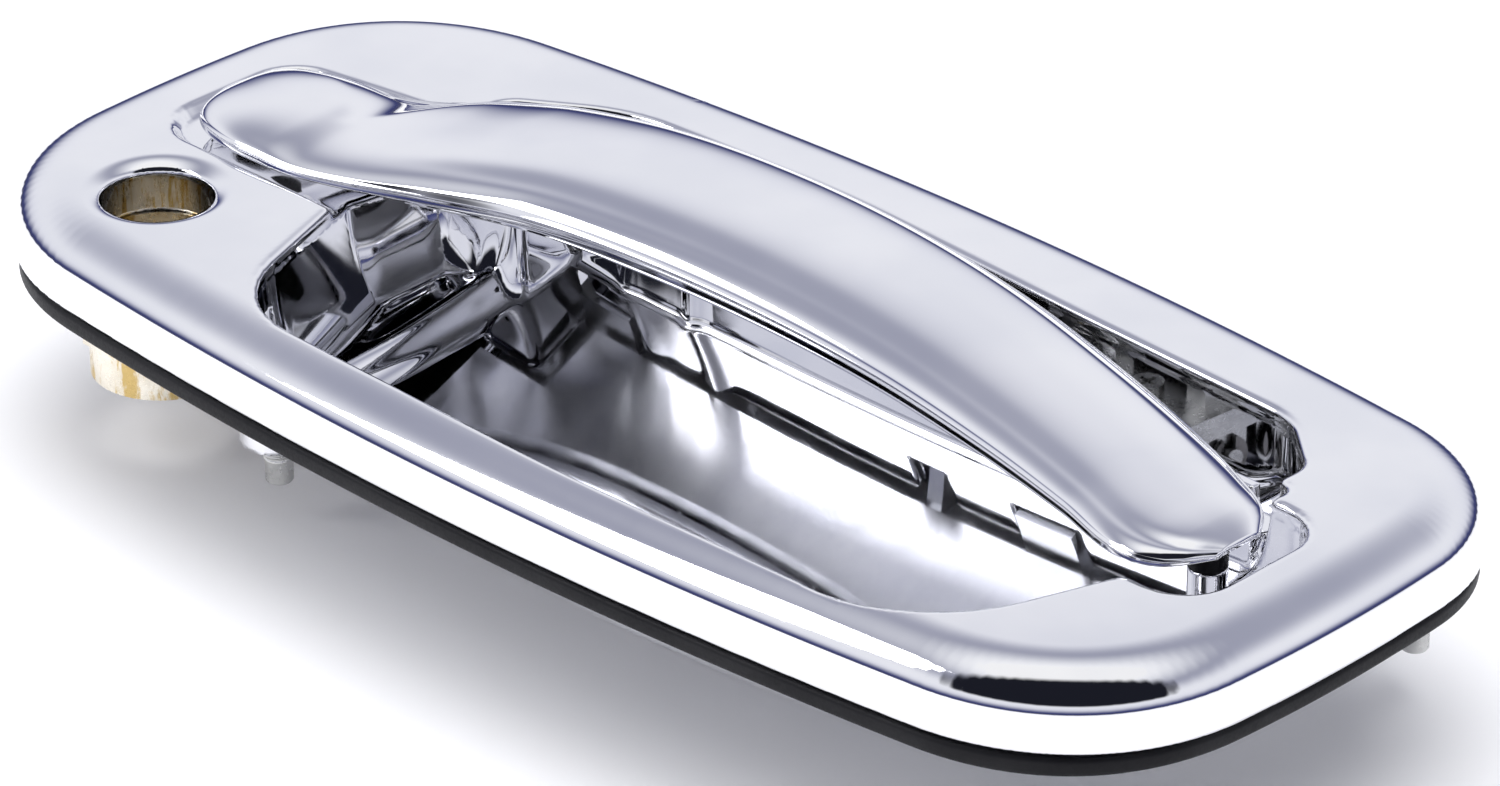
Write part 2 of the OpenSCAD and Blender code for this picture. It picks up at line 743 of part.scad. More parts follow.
// The grip's cover, under the frame and just below the shell's rim, with blind pockets over the
// screws' heads
module paddle_liner() color("gainsboro") difference() {
    translate([0, 0, frame_low - liner_t]) linear_extrude(liner_t) polygon(concat(
        [for (x = liner_xs) [x, near_edge(x) + liner_gap]],
        [for (k = [len(liner_xs) - 1:-1:0]) [liner_xs[k], liner_far(liner_xs[k])]]
    ));
    for (p = frame_screw_places)
        translate([p.x, p.y, frame_low - liner_t + liner_skin]) cylinder(r = screw_head_r + 0.4, h = liner_t);
}

bush_r = pin_r + 1.2;
bush_l = 5;

module frame_ear(x) translate([x - ear_w / 2, 0, 0]) difference() {
    union() {
        translate([0, frame_y1 - 3, hinge_z])
            cube([ear_w, hinge_y + 1.5 - frame_y1 + 3, frame_low + frame_t - hinge_z]);
        along_x(0, hinge_y, hinge_z) cylinder(r = lug_r + 0.6, h = ear_w);
    }
    along_x(-1, hinge_y, hinge_z) cylinder(r = bush_r + seat_gap, h = ear_w + 2);
}

finger_root_half = 4.5;
finger_neck_half = 1.9;
finger_tip_half = 1.3;
finger_neck = 6;

// The finger: an arm in the Y-Z plane from the frame, past the pin, to the ball at its tip
module finger() {
    out = [cos(finger_lean), sin(finger_lean)];
    down = [sin(finger_lean), -cos(finger_lean)];
    root = [hinge_y, hinge_z];
    neck = root + finger_neck * down;
    difference() {
        translate([finger_x + finger_w / 2, 0, 0]) rotate([0, -90, 0]) linear_extrude(finger_w)
            polygon([for (p = [
                [frame_y1 - 4, frame_low + frame_t], [hinge_y, frame_low + frame_t],
                root + finger_root_half * out,
                neck + finger_neck_half * out,
                finger_tip + finger_tip_half * out,
                finger_tip - finger_tip_half * out,
                neck - finger_neck_half * out,
                root - finger_root_half * out,
                [frame_y1 - 4, frame_low]
            ]) [p[1], p[0]]]);
        along_x(finger_x - finger_w, hinge_y, hinge_z) cylinder(r = pin_r + side_gap, h = 2 * finger_w);
    }
}

module hinge_frame() color("slategray") difference() {
    union() {
        translate([frame_x0, frame_y0, frame_low]) cube([frame_x1 - frame_x0, frame_y1 - frame_y0, frame_t]);
        for (c = ear_centres) frame_ear(c);
        finger();
    }
    for (p = frame_screw_places)
        translate([p.x, p.y, frame_low - 1]) cylinder(r = frame_screw_r + seat_gap, h = frame_t + 2);
}

module hinge_bushings() color("ivory")
    for (c = ear_centres, end = [0, 1])
        along_x(end == 0 ? c - ear_w / 2 : c + ear_w / 2 - bush_l, hinge_y, hinge_z)
            tube(bush_r, pin_r + running, bush_l);

module frame_screws() color("silver")
    for (p = frame_screw_places)
        translate([p.x, p.y, frame_low])
            screw(frame_screw_r - seat_gap, crown(p.x) - shell_wall / 2 - 1.4, screw_head_r, 1.2);

module finger_sleeve() color("ivory") difference() {
    translate([finger_x, finger_tip[0], finger_tip[1]]) sphere(r = finger_ball_r);
    finger();
}

// ---- Lever --------------------------------------------------------------------------------

lever_bush_r = pivot_r + 1.4;
hub_r = lever_bush_r + 2.4;
tab_face = pivot_gap - finger_ball_r - side_gap;
tab_t = 2;
tab_l = 11;
tab_top = hinge_z - 24.6;
rod_x = pivot_x;
rod_y = pivot_y - rod_arm;
eye_r = rod_eye_r + 1.4;

module lever() color("goldenrod") difference() {
    bar = 5;
    translate([0, 0, lever_top - lever_t]) union() {
        translate([pivot_x, pivot_y, 0]) cylinder(r = hub_r, h = lever_t);
        translate([pivot_x, pivot_y + tab_face - bar, 0]) cube([lever_arm + bar, bar, lever_t]);
        translate([pivot_x + lever_arm - tab_l / 2, pivot_y + tab_face - tab_t, 0])
            cube([tab_l, tab_t, tab_top - lever_top + lever_t]);
        translate([rod_x - bar, rod_y, 0]) cube([2 * bar, rod_arm, lever_t]);
        translate([rod_x, rod_y, 0]) cylinder(r = eye_r + 2.6, h = lever_t);
    }
    translate([pivot_x, pivot_y, lever_top - lever_t - 1])
        cylinder(r = lever_bush_r + seat_gap, h = lever_t + 2);
    translate([rod_x, rod_y, lever_top - lever_t - 1]) cylinder(r = eye_r + running, h = lever_t + 2);
}

module lever_bush() color("ivory")
    translate([pivot_x, pivot_y, lever_top - lever_t])
        tube(lever_bush_r, pivot_r + running, lever_t + running);

// The clip that turns in the lever's eye and holds the latch rod
rod_clip_drop = 4;
rod_clip_l = 16;
rod_clip_w = 5.2;
rod_clip_t = 2.4;
rod_clip_cap = 1.4;

module rod_clip() color("gold")
    translate([rod_x, rod_y, lever_top - lever_t - rod_clip_drop]) difference() {
        union() {
            cylinder(r = eye_r, h = rod_clip_drop + lever_t + side_gap);
            translate([0, 0, rod_clip_drop + lever_t + side_gap])
                cylinder(r = eye_r + rod_clip_cap, h = rod_clip_cap);
            cylinder(r = eye_r + 1.8, h = rod_clip_drop - side_gap);
            translate([-rod_clip_l, -rod_clip_w / 2, 0]) cube([rod_clip_l, rod_clip_w, rod_clip_t]);
        }
        translate([0, 0, -1]) cylinder(r = rod_eye_r, h = rod_clip_drop + lever_t + 4);
        translate([3 - rod_clip_l, 0, 1.8]) rotate([0, -90, 0]) cylinder(r = rod_eye_r, h = 5);
    }

bezel();
gasket();
mounting_studs();
lock_housing();
lock_clip();
hinge_bracket();
hinge_bracket_screws();
hinge_pin();
pin_clips();
return_spring();
pivot_bracket();
pivot_bracket_screws();
lever_pin();
lever_clip();
lever_spring();
paddle_bumpers();
paddle_shell();
paddle_liner();
hinge_frame();
hinge_bushings();
frame_screws();
finger_sleeve();
lever();
lever_bush();
rod_clip();
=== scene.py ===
import math

import bpy
import numpy as np
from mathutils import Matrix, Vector


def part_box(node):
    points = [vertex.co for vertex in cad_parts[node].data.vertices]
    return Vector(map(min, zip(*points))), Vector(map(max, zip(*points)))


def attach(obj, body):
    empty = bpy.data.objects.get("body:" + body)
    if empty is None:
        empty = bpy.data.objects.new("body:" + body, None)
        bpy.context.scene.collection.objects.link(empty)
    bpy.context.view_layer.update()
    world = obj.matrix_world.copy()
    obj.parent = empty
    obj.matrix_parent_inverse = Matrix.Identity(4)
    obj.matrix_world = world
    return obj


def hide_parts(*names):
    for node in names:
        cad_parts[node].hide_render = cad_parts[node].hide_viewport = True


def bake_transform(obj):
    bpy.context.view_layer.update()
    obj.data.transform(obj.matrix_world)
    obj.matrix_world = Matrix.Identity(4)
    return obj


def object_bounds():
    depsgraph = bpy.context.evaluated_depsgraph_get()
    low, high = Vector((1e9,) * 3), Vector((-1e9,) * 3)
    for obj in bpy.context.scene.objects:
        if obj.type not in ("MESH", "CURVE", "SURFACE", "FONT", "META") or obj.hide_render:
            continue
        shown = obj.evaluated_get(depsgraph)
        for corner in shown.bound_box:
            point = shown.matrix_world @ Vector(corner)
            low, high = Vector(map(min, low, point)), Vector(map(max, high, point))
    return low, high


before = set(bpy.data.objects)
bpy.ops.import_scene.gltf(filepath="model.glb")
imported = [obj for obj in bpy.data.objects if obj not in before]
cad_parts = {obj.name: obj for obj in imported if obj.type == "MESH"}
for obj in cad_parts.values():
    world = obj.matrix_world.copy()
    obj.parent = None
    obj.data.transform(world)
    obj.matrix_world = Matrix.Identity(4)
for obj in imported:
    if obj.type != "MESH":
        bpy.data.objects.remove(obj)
cad_low, cad_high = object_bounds()

MM = 0.001

# ---- Sizes, in millimetres, in the frame of the CAD model ---------------------------------

def corner_mm(node, end):
    return np.array(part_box(node)[end]) / MM


bezel_low, bezel_high = corner_mm("bezel", 0), corner_mm("bezel", 1)
GASKET_TOP = corner_mm("gasket", 1)[2]
FACE_Z = 16.2
WALL = 2.2
FLOOR_Z = -8.0
WELL_FLOOR = 2.0
SEAT_Z = FACE_Z - 2.0
RIM_Z = FACE_Z + 0.8
HINGE_Y, HINGE_Z = 24.0, 10.0
LOCK_X, LOCK_Y = -90.0, -32.0
LOCK_TOP = FACE_Z - 8.5
BORE_R = 8.8
LOCK_BOSS_R = BORE_R + 4.7


# ---- Curves -------------------------------------------------------------------------------

def side_point(a, b, bow, t):
    d = b - a
    n = np.array([d[1], -d[0]]) / np.hypot(*d)
    return a + d * t + n * bow * 4 * t * (1 - t)


def side_slope(a, b, bow, t):
    d = b - a
    n = np.array([d[1], -d[0]]) / np.hypot(*d)
    s = d + n * bow * 4 * (1 - 2 * t)
    return s / np.hypot(*s)


def bezel_outline():
    """The bezel's outline: four bowed sides joined by soft corners, anticlockwise."""
    half_l, half_w, skew = 120.0, 49.1, 1.2
    corners = np.array([
        [-half_l, -half_w], [half_l, -half_w], [half_l, half_w + skew], [-half_l, half_w - skew]
    ])
    bows = [9.2, 4.0, 9.2, 4.0]
    trims = [31, 30, 25, 34]
    reach_share = 0.39
    corner_steps, side_steps = 24, 40
    points = []
    for i in range(4):
        h, j = (i + 3) % 4, (i + 1) % 4
        start = trims[i] / np.hypot(*(corners[j] - corners[i]))
        end = 1 - trims[j] / np.hypot(*(corners[j] - corners[i]))
        before = 1 - trims[i] / np.hypot(*(corners[i] - corners[h]))
        p0 = side_point(corners[h], corners[i], bows[h], before)
        p3 = side_point(corners[i], corners[j], bows[i], start)
        reach = np.hypot(*(p3 - p0)) * reach_share
        p1 = p0 + reach * side_slope(corners[h], corners[i], bows[h], before)
        p2 = p3 - reach * side_slope(corners[i], corners[j], bows[i], start)
        for t in np.arange(corner_steps) / corner_steps:
            rest = 1 - t
            points.append(p0 * rest ** 3 + 3 * p1 * t * rest ** 2 + 3 * p2 * t * t * rest + p3 * t ** 3)
        for t in np.linspace(start, end, side_steps, endpoint=False):
            points.append(side_point(corners[i], corners[j], bows[i], t))
    return np.array(points)


def rounded(corners, steps=8):
    """A polygon of [x, y, radius] corners with each corner rounded to an arc."""
    points = []
    n = len(corners)
    for i in range(n):
        p = np.array(corners[i][:2], float)
        a = np.array(corners[i - 1][:2], float)
        b = np.array(corners[(i + 1) % n][:2], float)
        r = corners[i][2]
        u = (a - p) / np.hypot(*(a - p))
        v = (b - p) / np.hypot(*(b - p))
        half = math.acos(float(u @ v)) / 2
        centre = p + (u + v) / np.hypot(*(u + v)) * r / math.sin(half)
        begin = p + u * r / math.tan(half) - centre
        finish = p + v * r / math.tan(half) - centre
        turn = 1 if begin[0] * finish[1] - begin[1] * finish[0] > 0 else -1
        for k in range(steps + 1):
            w = turn * (math.pi - 2 * half) * k / steps
            points.append(centre + [
                begin[0] * math.cos(w) - begin[1] * math.sin(w),
                begin[0] * math.sin(w) + begin[1] * math.cos(w),
            ])
    return np.array(points)


OUTLINE = bezel_outline()
RECESS_LIP = rounded([
    (-68, -12, 3), (-56, -48, 20), (15, -50.2, 400), (86, -48, 26), (98, -14, 4), (98, 20, 3),
    (-49, 20, 3), (-49, 6, 2), (-65, 6, 3),
])
RECESS_FLOOR = rounded([
    (-61, -10, 6), (-52, -38, 12), (15, -44, 300), (78, -40, 22), (90, -12, 8), (92, 18, 3),
    (-46.5, 18, 2.5), (-46.5, 3, 3), (-59, 3, 4),
])
WELL = rounded([
    (-73.5, 17, 2), (95, 17, 2), (95, 26, 6), (84, 35.6, 12), (40, 37.8, 200), (-12, 41.2, 200),
    (-56, 38.6, 30), (-73.5, 27, 6),
])
POCKET = rounded([(94, -16, 4), (109.5, -16, 8), (109.5, 14.5, 8), (94, 14.5, 2)])
SEAT = rounded([(-108, -17, 9), (-64, -17, 3), (-64, 19, 3), (-82, 17, 8), (-108, 13, 8)])


# ---- Bezel as a field: negative in the plastic, positive outside ---------------------------

GRID = 0.7
MAP_LOW = np.array([-127.0, -61.5])
MAP_SIZE = (int(254 / GRID) + 1, int(123 / GRID) + 1)


def inside_distance(x, y, polygon):
    """Distance from (x, y) to a closed polygon, positive inside it."""
    best = np.full(x.shape, 1e9)
    inside = np.zeros(x.shape, bool)
    for a, b in zip(polygon, np.roll(polygon, -1, axis=0)):
        d = b - a
        length = d @ d
        if length < 1e-12:
            continue
        t = np.clip(((x - a[0]) * d[0] + (y - a[1]) * d[1]) / length, 0, 1)
        best = np.minimum(best, (x - a[0] - t * d[0]) ** 2 + (y - a[1] - t * d[1]) ** 2)
        if a[1] != b[1]:
            crosses = (y < a[1]) != (y < b[1])
            inside ^= crosses & (x < a[0] + (y - a[1]) * d[0] / d[1])
    return np.sqrt(best) * np.where(inside, 1, -1)


def grid_map(polygon):
    x = MAP_LOW[0] + GRID * np.arange(MAP_SIZE[0])[:, None] + np.zeros((1, MAP_SIZE[1]))
    y = MAP_LOW[1] + GRID * np.arange(MAP_SIZE[1])[None, :] + np.zeros((MAP_SIZE[0], 1))
    return inside_distance(x, y, polygon)


def sampled(maps, x, y):
    """Smooth values of several maps at points, by cubic interpolation."""
    u = np.clip((x - MAP_LOW[0]) / GRID, 1, MAP_SIZE[0] - 3.001)
    v = np.clip((y - MAP_LOW[1]) / GRID, 1, MAP_SIZE[1] - 3.001)
    i, j = u.astype(int), v.astype(int)

    def weights(f):
        return (
            -0.5 * f + f * f - 0.5 * f ** 3,
            1 - 2.5 * f * f + 1.5 * f ** 3,
            0.5 * f + 2 * f * f - 1.5 * f ** 3,
            -0.5 * f * f + 0.5 * f ** 3,
        )

    wu, wv = weights(u - i), weights(v - j)
    found = [0.0] * len(maps)
    for a in range(4):
        for b in range(4):
            w = wu[a] * wv[b]
            for k, m in enumerate(maps):
                found[k] = found[k] + w * m[i + a - 1, j + b - 1]
    return found


def blend_max(a, b, radius):
    """The greater of two fields, with the corner between them rounded."""
    h = np.maximum(radius - np.abs(a - b), 0) / radius
    return np.maximum(a, b) + h * h * radius / 4


def blend_min(a, b, radius):
    return -blend_max(-a, -b, radius)


def bump(d, width):
    return np.exp(-((d / width) ** 2))


def smooth_step(t):
    t = np.clip(t, 0, 1)
    return t * t * (3 - 2 * t)


# The rim's outer roll: how far in and from what height it runs, and how square it is
ROLL_W = 10.0
ROLL_Z = 8.5
ROLL_POWER = 2.15
# How much the face falls from its middle to the rim, and over what distance
FACE_FALL, FACE_SPAN = 0.7, 34


def rolled_rim(d, z, drop):
    """The rim's outer roll at inset d, or its inner face with a drop."""
    top = FACE_Z - FACE_FALL * (1 - np.clip(d, 0, FACE_SPAN) / FACE_SPAN) ** 2 - drop
    u = np.maximum((ROLL_W - d) / ROLL_W, 0)
    v = np.maximum((z - ROLL_Z) / (top - ROLL_Z), 0)
    return ((u ** ROLL_POWER + v ** ROLL_POWER) ** (1 / ROLL_POWER) - 1) * (FACE_Z - ROLL_Z)


RIDGE_X, RIDGE_H = -51.5, 3.4


def recess_floor_at(x, y):
    """The recess's floor: dished, with a ridge across it and a cup at its lock end."""
    ridge = RIDGE_H * bump(x - RIDGE_X, 2.4) * smooth_step((y + 40) / 10)
    cup = 1.6 * smooth_step((-49 - x) / 6)
    sweep = 0.0004 * (x - 22) ** 2 + 0.0024 * np.maximum(y + 38, 0) ** 2
    return FLOOR_Z + ridge + cup + sweep


def recess_field(lip, foot, x, y, z):
    """Negative in the recess's hollow: quarter-round walls from the lip down to the floor."""
    top = FACE_Z + 0.2
    width = np.maximum(lip + np.maximum(-foot, 0), 1.0)
    out = np.maximum(-foot, 0) / width
    out = np.where(lip < 0, 1 - lip / width, out)
    depth = top - recess_floor_at(x, y)
    down = np.maximum((top - z) / depth, 0)
    reach = np.sqrt(out ** 2 + down ** 2)
    scale = np.sqrt((out / width) ** 2 + (down / depth) ** 2 + 1e-9) / np.maximum(reach, 1e-6)
    return (reach - 1) / scale


def pocket_field(d, z, floor):
    """Negative in a straight-walled pocket, from its distance map and its floor's height."""
    return blend_max(-d, floor - z, 2.4)


def post(x, y, z, place, r, low, high):
    """Negative in an upright cylinder."""
    return np.maximum(np.hypot(x - place[0], y - place[1]) - r, np.maximum(low - z, z - high))


STUDS = [(-56.5, -38.5), (102.0, 44.5)]
STUD_R = 3.0
SOCKET_TOP = 9
# Bosses as radius, foot and top
STUD_BOSSES = [(6, -12.5, 0), (6, 3.1, 12)]
EAR_CENTRES, EAR_W = (-44.0, 48.0), 11.4
SCREW_POSTS = [(-44, 31), (-26, 31), (34, 31), (48, 31), (-58, 31), (72, 27)]
SCREW_BOSS = (3.3, -7, 1)
BUMPER_POST, BUMPER_BOSS = (101.0, -2.0), (3, 1, SEAT_Z - 1)
FINGER_X, FINGER_SLOT = 24.0, 3.5

# The wall between the recess and the hinge: its ends, its far side, which clears the spring's
# coils, its thickness, and the height from which it is open for the paddle's ears and finger
CURTAIN_ENDS = (-46, 93)
CURTAIN_FAR = HINGE_Y - 5.45
CURTAIN_T = 1.8
NOTCH_Z = HINGE_Z - 0.6

# The round dish about the lock bore
DISH_R, DISH_DEPTH = 20.0, 3.3


def slab(x, y, z, low, high):
    """A straight-sided block between two corners."""
    field = -1e9
    for value, a, b in zip((x, y, z), low, high):
        field = np.maximum(field, np.abs(value - (a + b) / 2) - (b - a) / 2)
    return field


def curtain(x, y, z):
    """The wall between the recess and the hinge, ribbed and notched for the paddle's arms."""
    ribs = 0.8 * bump(x + 21, 1.8) + 0.5 * bump(x + 35, 2.5)
    belly = 0.6 * bump(x + 29, 9)
    left, right = CURTAIN_ENDS
    near = CURTAIN_FAR - CURTAIN_T
    wall = slab(x, y + ribs + belly, z, (left, near, FLOOR_Z - 1), (right, CURTAIN_FAR, FACE_Z - 1))
    gaps = [(FINGER_X, FINGER_SLOT)] + [(centre, EAR_W / 2 + 1) for centre in EAR_CENTRES]
    notches = 1e9
    for centre, half in gaps:
        gap = slab(x, 0 * y, z, (centre - half, -1, NOTCH_Z), (centre + half, 1, 99))
        notches = np.minimum(notches, gap)
    return blend_max(wall, -notches, 0.8)


def bezel_field(maps, x, y, z):
    """Negative in the bezel's plastic, from its distance maps and the points' places."""
    d_rim, lip, foot, well, pocket, seat = maps
    hollow = recess_field(lip, foot, x, y, z)
    well_cut = pocket_field(well, z, WELL_FLOOR + 4.5 * smooth_step((x - 74) / 14))
    pocket_cut = pocket_field(pocket, z, WELL_FLOOR)
    seat_cut = pocket_field(seat, z, SEAT_Z)
    roll = rolled_rim(d_rim, z, 0)
    outer = blend_max(roll, GASKET_TOP - z, 1.6)
    inner = rolled_rim(d_rim - WALL - 0.4, z, WALL)
    shell = np.maximum(outer, -inner)
    cut = blend_min(hollow, well_cut, 1.0)
    cut = blend_min(cut, pocket_cut, 1.2)
    wrap = np.minimum(np.minimum(hollow, well_cut), np.minimum(pocket_cut, seat_cut)) - WALL
    posts = post(x, y, z, (LOCK_X, LOCK_Y), LOCK_BOSS_R, LOCK_TOP, FACE_Z)
    for place, boss in zip(STUDS, STUD_BOSSES):
        posts = np.minimum(posts, post(x, y, z, place, *boss))
    for place in SCREW_POSTS:
        posts = np.minimum(posts, post(x, y, z, place, *SCREW_BOSS))
    body = blend_min(shell, np.maximum(blend_min(wrap, posts, 1.0), roll + 1.5), 1.2)
    cut = blend_min(cut, seat_cut, 1.0)
    off_lock = np.hypot(x - LOCK_X, y - LOCK_Y)
    dish = np.hypot(off_lock, z - FACE_Z - DISH_R + DISH_DEPTH) - DISH_R
    bore = np.maximum(off_lock - BORE_R, LOCK_TOP - 2 - z)
    off_slot = np.maximum(np.abs(x - FINGER_X) - FINGER_SLOT, np.abs(y - HINGE_Y - 4.8) - 6.4)
    slot = np.maximum(off_slot, z - WELL_FLOOR - 1)
    cut = np.minimum(cut, slot)
    solid = blend_max(body, -cut, 1.5)
    solid = blend_min(solid, curtain(x, y, z), 1.6)
    solid = blend_min(solid, post(x, y, z, BUMPER_POST, *BUMPER_BOSS), 1.0)
    solid = blend_max(solid, -dish, 0.9)
    solid = blend_max(solid, -bore, 0.7)
    for place in STUDS:
        socket = np.maximum(np.hypot(x - place[0], y - place[1]) - STUD_R - 0.1, z - SOCKET_TOP)
        solid = np.maximum(solid, -socket)
    return solid


def surface_net(values):
    """Vertices (in grid steps) and quads round the zero level of a field on a grid."""
    neg = values < 0
    count = sum(
        neg[a:a + neg.shape[0] - 1, b:b + neg.shape[1] - 1, c:c + neg.shape[2] - 1].astype(np.int8)
        for a in (0, 1) for b in (0, 1) for c in (0, 1)
    )
    active = (count > 0) & (count < 8)
    index = np.full(active.shape, -1, np.int64)
    index[active] = np.arange(active.sum())
    vertices = np.argwhere(active) + 0.5
    quads = []
    for axis in range(3):
        b, c = (axis + 1) % 3, (axis + 2) % 3
        low = np.take(neg, range(neg.shape[axis] - 1), axis)
        high = np.take(neg, range(1, neg.shape[axis]), axis)
        at = np.argwhere(low != high)
        inner = (at[:, b] > 0) & (at[:, c] > 0)
        inner &= (at[:, b] < neg.shape[b] - 1) & (at[:, c] < neg.shape[c] - 1)
        at = at[inner]
        leaving = low[tuple(at.T)]
        ring = []
        for db, dc in ((-1, -1), (0, -1), (0, 0), (-1, 0)):
            cell = at.copy()
            cell[:, b] += db
            cell[:, c] += dc
            ring.append(index[tuple(cell.T)])
        ring = np.array(ring).T
        ring[~leaving] = ring[~leaving][:, ::-1]
        quads.append(ring)
    return vertices, np.concatenate(quads)


def gradient(field, p):
    """The field's slope at points, by central differences."""
    h = 0.12
    parts = []
    for axis in range(3):
        step = np.zeros(3)
        step[axis] = h
        parts.append((field(p + step) - field(p - step)) / (2 * h))
    return np.array(parts).T


def settled(field, p, quads):
    """Vertices evened out over the surface and brought onto it, with the surface's normals."""
    edges = np.concatenate([quads[:, [k, (k + 1) % 4]] for k in range(4)])
    counts = np.bincount(edges.ravel(), minlength=len(p))[:, None]

    def onto(p, steps):
        for _ in range(steps):
            g = gradient(field, p)
            move = field(p)[:, None] * g / np.maximum((g * g).sum(1), 0.05)[:, None]
            size = np.linalg.norm(move, axis=1)[:, None]
            p = p - move * np.minimum(1, 0.35 / np.maximum(size, 1e-9))
        return p

    p = onto(p, 2)
    for _ in range(2):
        total = np.zeros_like(p)
        for k in range(3):
            total[:, k] = np.bincount(edges[:, 0], p[edges[:, 1], k], len(p))
            total[:, k] += np.bincount(edges[:, 1], p[edges[:, 0], k], len(p))
        p = onto(0.5 * p + 0.5 * total / counts, 1)
    p = onto(p, 2)
    g = gradient(field, p)
    return p, g / np.maximum(np.linalg.norm(g, axis=1), 1e-9)[:, None]


# ---- Making pieces ------------------------------------------------------------------------

def piece(name, points, faces, finish, body, replaced=(), normals=None):
    """A smooth mesh from points in millimetres, riding on a body."""
    mesh = bpy.data.meshes.new(name)
    points = np.asarray(points, float) * MM
    mesh.from_pydata(points.tolist(), [], faces.tolist() if hasattr(faces, "tolist") else faces)
    mesh.validate()
    mesh.polygons.foreach_set("use_smooth", [True] * len(mesh.polygons))
    if normals is not None:
        mesh.normals_split_custom_set_from_vertices(normals.tolist())
    mesh.materials.append(finish)
    made = bpy.data.objects.new(name, mesh)
    bpy.context.collection.objects.link(made)
    if body:
        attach(made, body)
    if replaced:
        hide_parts(*replaced)
    return made


def rings_mesh(rings, closed_path=False):
    """Points and quads of rings with equal numbers of points; open ends are capped."""
    rings = np.asarray(rings, float)
    m, n = rings.shape[:2]
    faces = []
    for i in range(m if closed_path else m - 1):
        a, b = i * n, ((i + 1) % m) * n
        for k in range(n):
            faces.append((a + k, a + (k + 1) % n, b + (k + 1) % n, b + k))
    if not closed_path:
        faces.append(tuple(range(n - 1, -1, -1)))
        faces.append(tuple((m - 1) * n + k for k in range(n)))
    return rings.reshape(-1, 3), faces


def wire_rings(path, r, sides=16):
    """Rings of a round wire along a path, kept from twisting."""
    path = np.asarray(path, float)
    tangents = np.gradient(path, axis=0)
    tangents /= np.linalg.norm(tangents, axis=1)[:, None]
    up = np.cross(tangents[0], [1, 0.3, 0.1])
    angles = np.arange(sides) * 2 * math.pi / sides
    rings = []
    for p, t in zip(path, tangents):
        up = up - (up @ t) * t
        up /= np.linalg.norm(up)
        side = np.cross(t, up)
        rings.append([p + r * (math.cos(a) * up + math.sin(a) * side) for a in angles])
    return rings


# ---- Finishes -----------------------------------------------------------------------------

class Reading:
    """A node's output that adds Math nodes when it is used in an expression."""

    def __init__(self, finish, socket):
        self.finish, self.socket = finish, socket

    def _math(self, operation, a, b):
        return self.finish.node("ShaderNodeMath", {"operation": operation}, {0: a, 1: b})

    def __add__(self, other):
        return self._math("ADD", self, other)

    def __radd__(self, other):
        return self._math("ADD", other, self)

    def __mul__(self, other):
        return self._math("MULTIPLY", self, other)

    def __rmul__(self, other):
        return self._math("MULTIPLY", other, self)


class Finish:
    """A material whose surface detail is worked out from the piece's own coordinates."""

    def __init__(self, name, **constants):
        self.material = bpy.data.materials.new(name)
        self.material.use_nodes = True
        self.tree = self.material.node_tree
        self.shader = next(n for n in self.tree.nodes if n.type == "BSDF_PRINCIPLED")
        for socket, value in constants.items():
            self.shader.inputs[socket.replace("_", " ")].default_value = value
        self.place = self.node("ShaderNodeTexCoord", out="Object")

    def node(self, kind, settings=None, inputs=None, out=0):
        made = self.tree.nodes.new(kind)
        for name, value in (settings or {}).items():
            setattr(made, name, value)
        for key, value in (inputs or {}).items():
            if isinstance(value, Reading):
                self.tree.links.new(value.socket, made.inputs[key])
            else:
                made.inputs[key].default_value = value
        return Reading(self, made.outputs[out])

    def noise(self, size_mm, detail=3.0, rough=0.5, stretch=(1, 1, 1)):
        """Smooth noise with features of about size_mm."""
        spread = self.node(
            "ShaderNodeVectorMath", {"operation": "MULTIPLY"}, {0: self.place, 1: stretch}
        )
        return self.node(
            "ShaderNodeTexNoise", {},
            {"Vector": spread, "Scale": 1 / (size_mm * MM), "Detail": detail, "Roughness": rough},
        )

    def spread(self, value, low, high, to_low=0.0, to_high=1.0):
        return self.node(
            "ShaderNodeMapRange", {"interpolation_type": "SMOOTHSTEP"},
            {"Value": value, "From Min": low, "From Max": high, "To Min": to_low, "To Max": to_high},
        )

    def mix(self, factor, a, b):
        made = self.tree.nodes.new("ShaderNodeMix")
        made.data_type = "RGBA"
        self.tree.links.new(factor.socket, made.inputs["Factor"])
        for key, value in ((6, a), (7, b)):
            if isinstance(value, Reading):
                self.tree.links.new(value.socket, made.inputs[key])
            else:
                made.inputs[key].default_value = (*value, 1)
        return Reading(self, made.outputs[2])

    def feed(self, socket, value):
        self.tree.links.new(value.socket, self.shader.inputs[socket])

    def relief(self, height, depth_mm, strength=1.0):
        self.feed("Normal", self.node(
            "ShaderNodeBump", {}, {"Height": height, "Distance": depth_mm * MM, "Strength": strength}
        ))


def metal(name, light, dark, rough, rough_spread, grain_mm, relief_mm, **constants):
    """Bare or plated metal: cloudy colour, uneven polish and a fine surface."""
    f = Finish(name, Metallic=1.0, **constants)
    clouds = f.noise(grain_mm * 9, 4.0, 0.6)
    grain = f.noise(grain_mm, 5.0, 0.6)
    f.feed("Base Color", f.mix(f.spread(clouds, 0.35, 0.65), dark, light))
    unevenness = grain * 0.5 + clouds * 0.5
    f.feed("Roughness", f.spread(unevenness, 0.3, 0.7, rough - rough_spread, rough + rough_spread))
    f.relief(grain, relief_mm)
    return f


def plastic(name, light, dark, rough, grain_mm, relief_mm, **constants):
    """Moulded plastic or rubber with a fine grain and slight flow marks."""
    f = Finish(name, **constants)
    flow = f.noise(grain_mm * 20, 3.0, 0.5, (0.4, 1, 1))
    grain = f.noise(grain_mm, 4.0, 0.55)
    f.feed("Base Color", f.mix(f.spread(flow, 0.35, 0.65), dark, light))
    f.feed("Roughness", f.spread(grain, 0.3, 0.7, rough - 0.07, rough + 0.07))
    f.relief(grain, relief_mm)
    return f


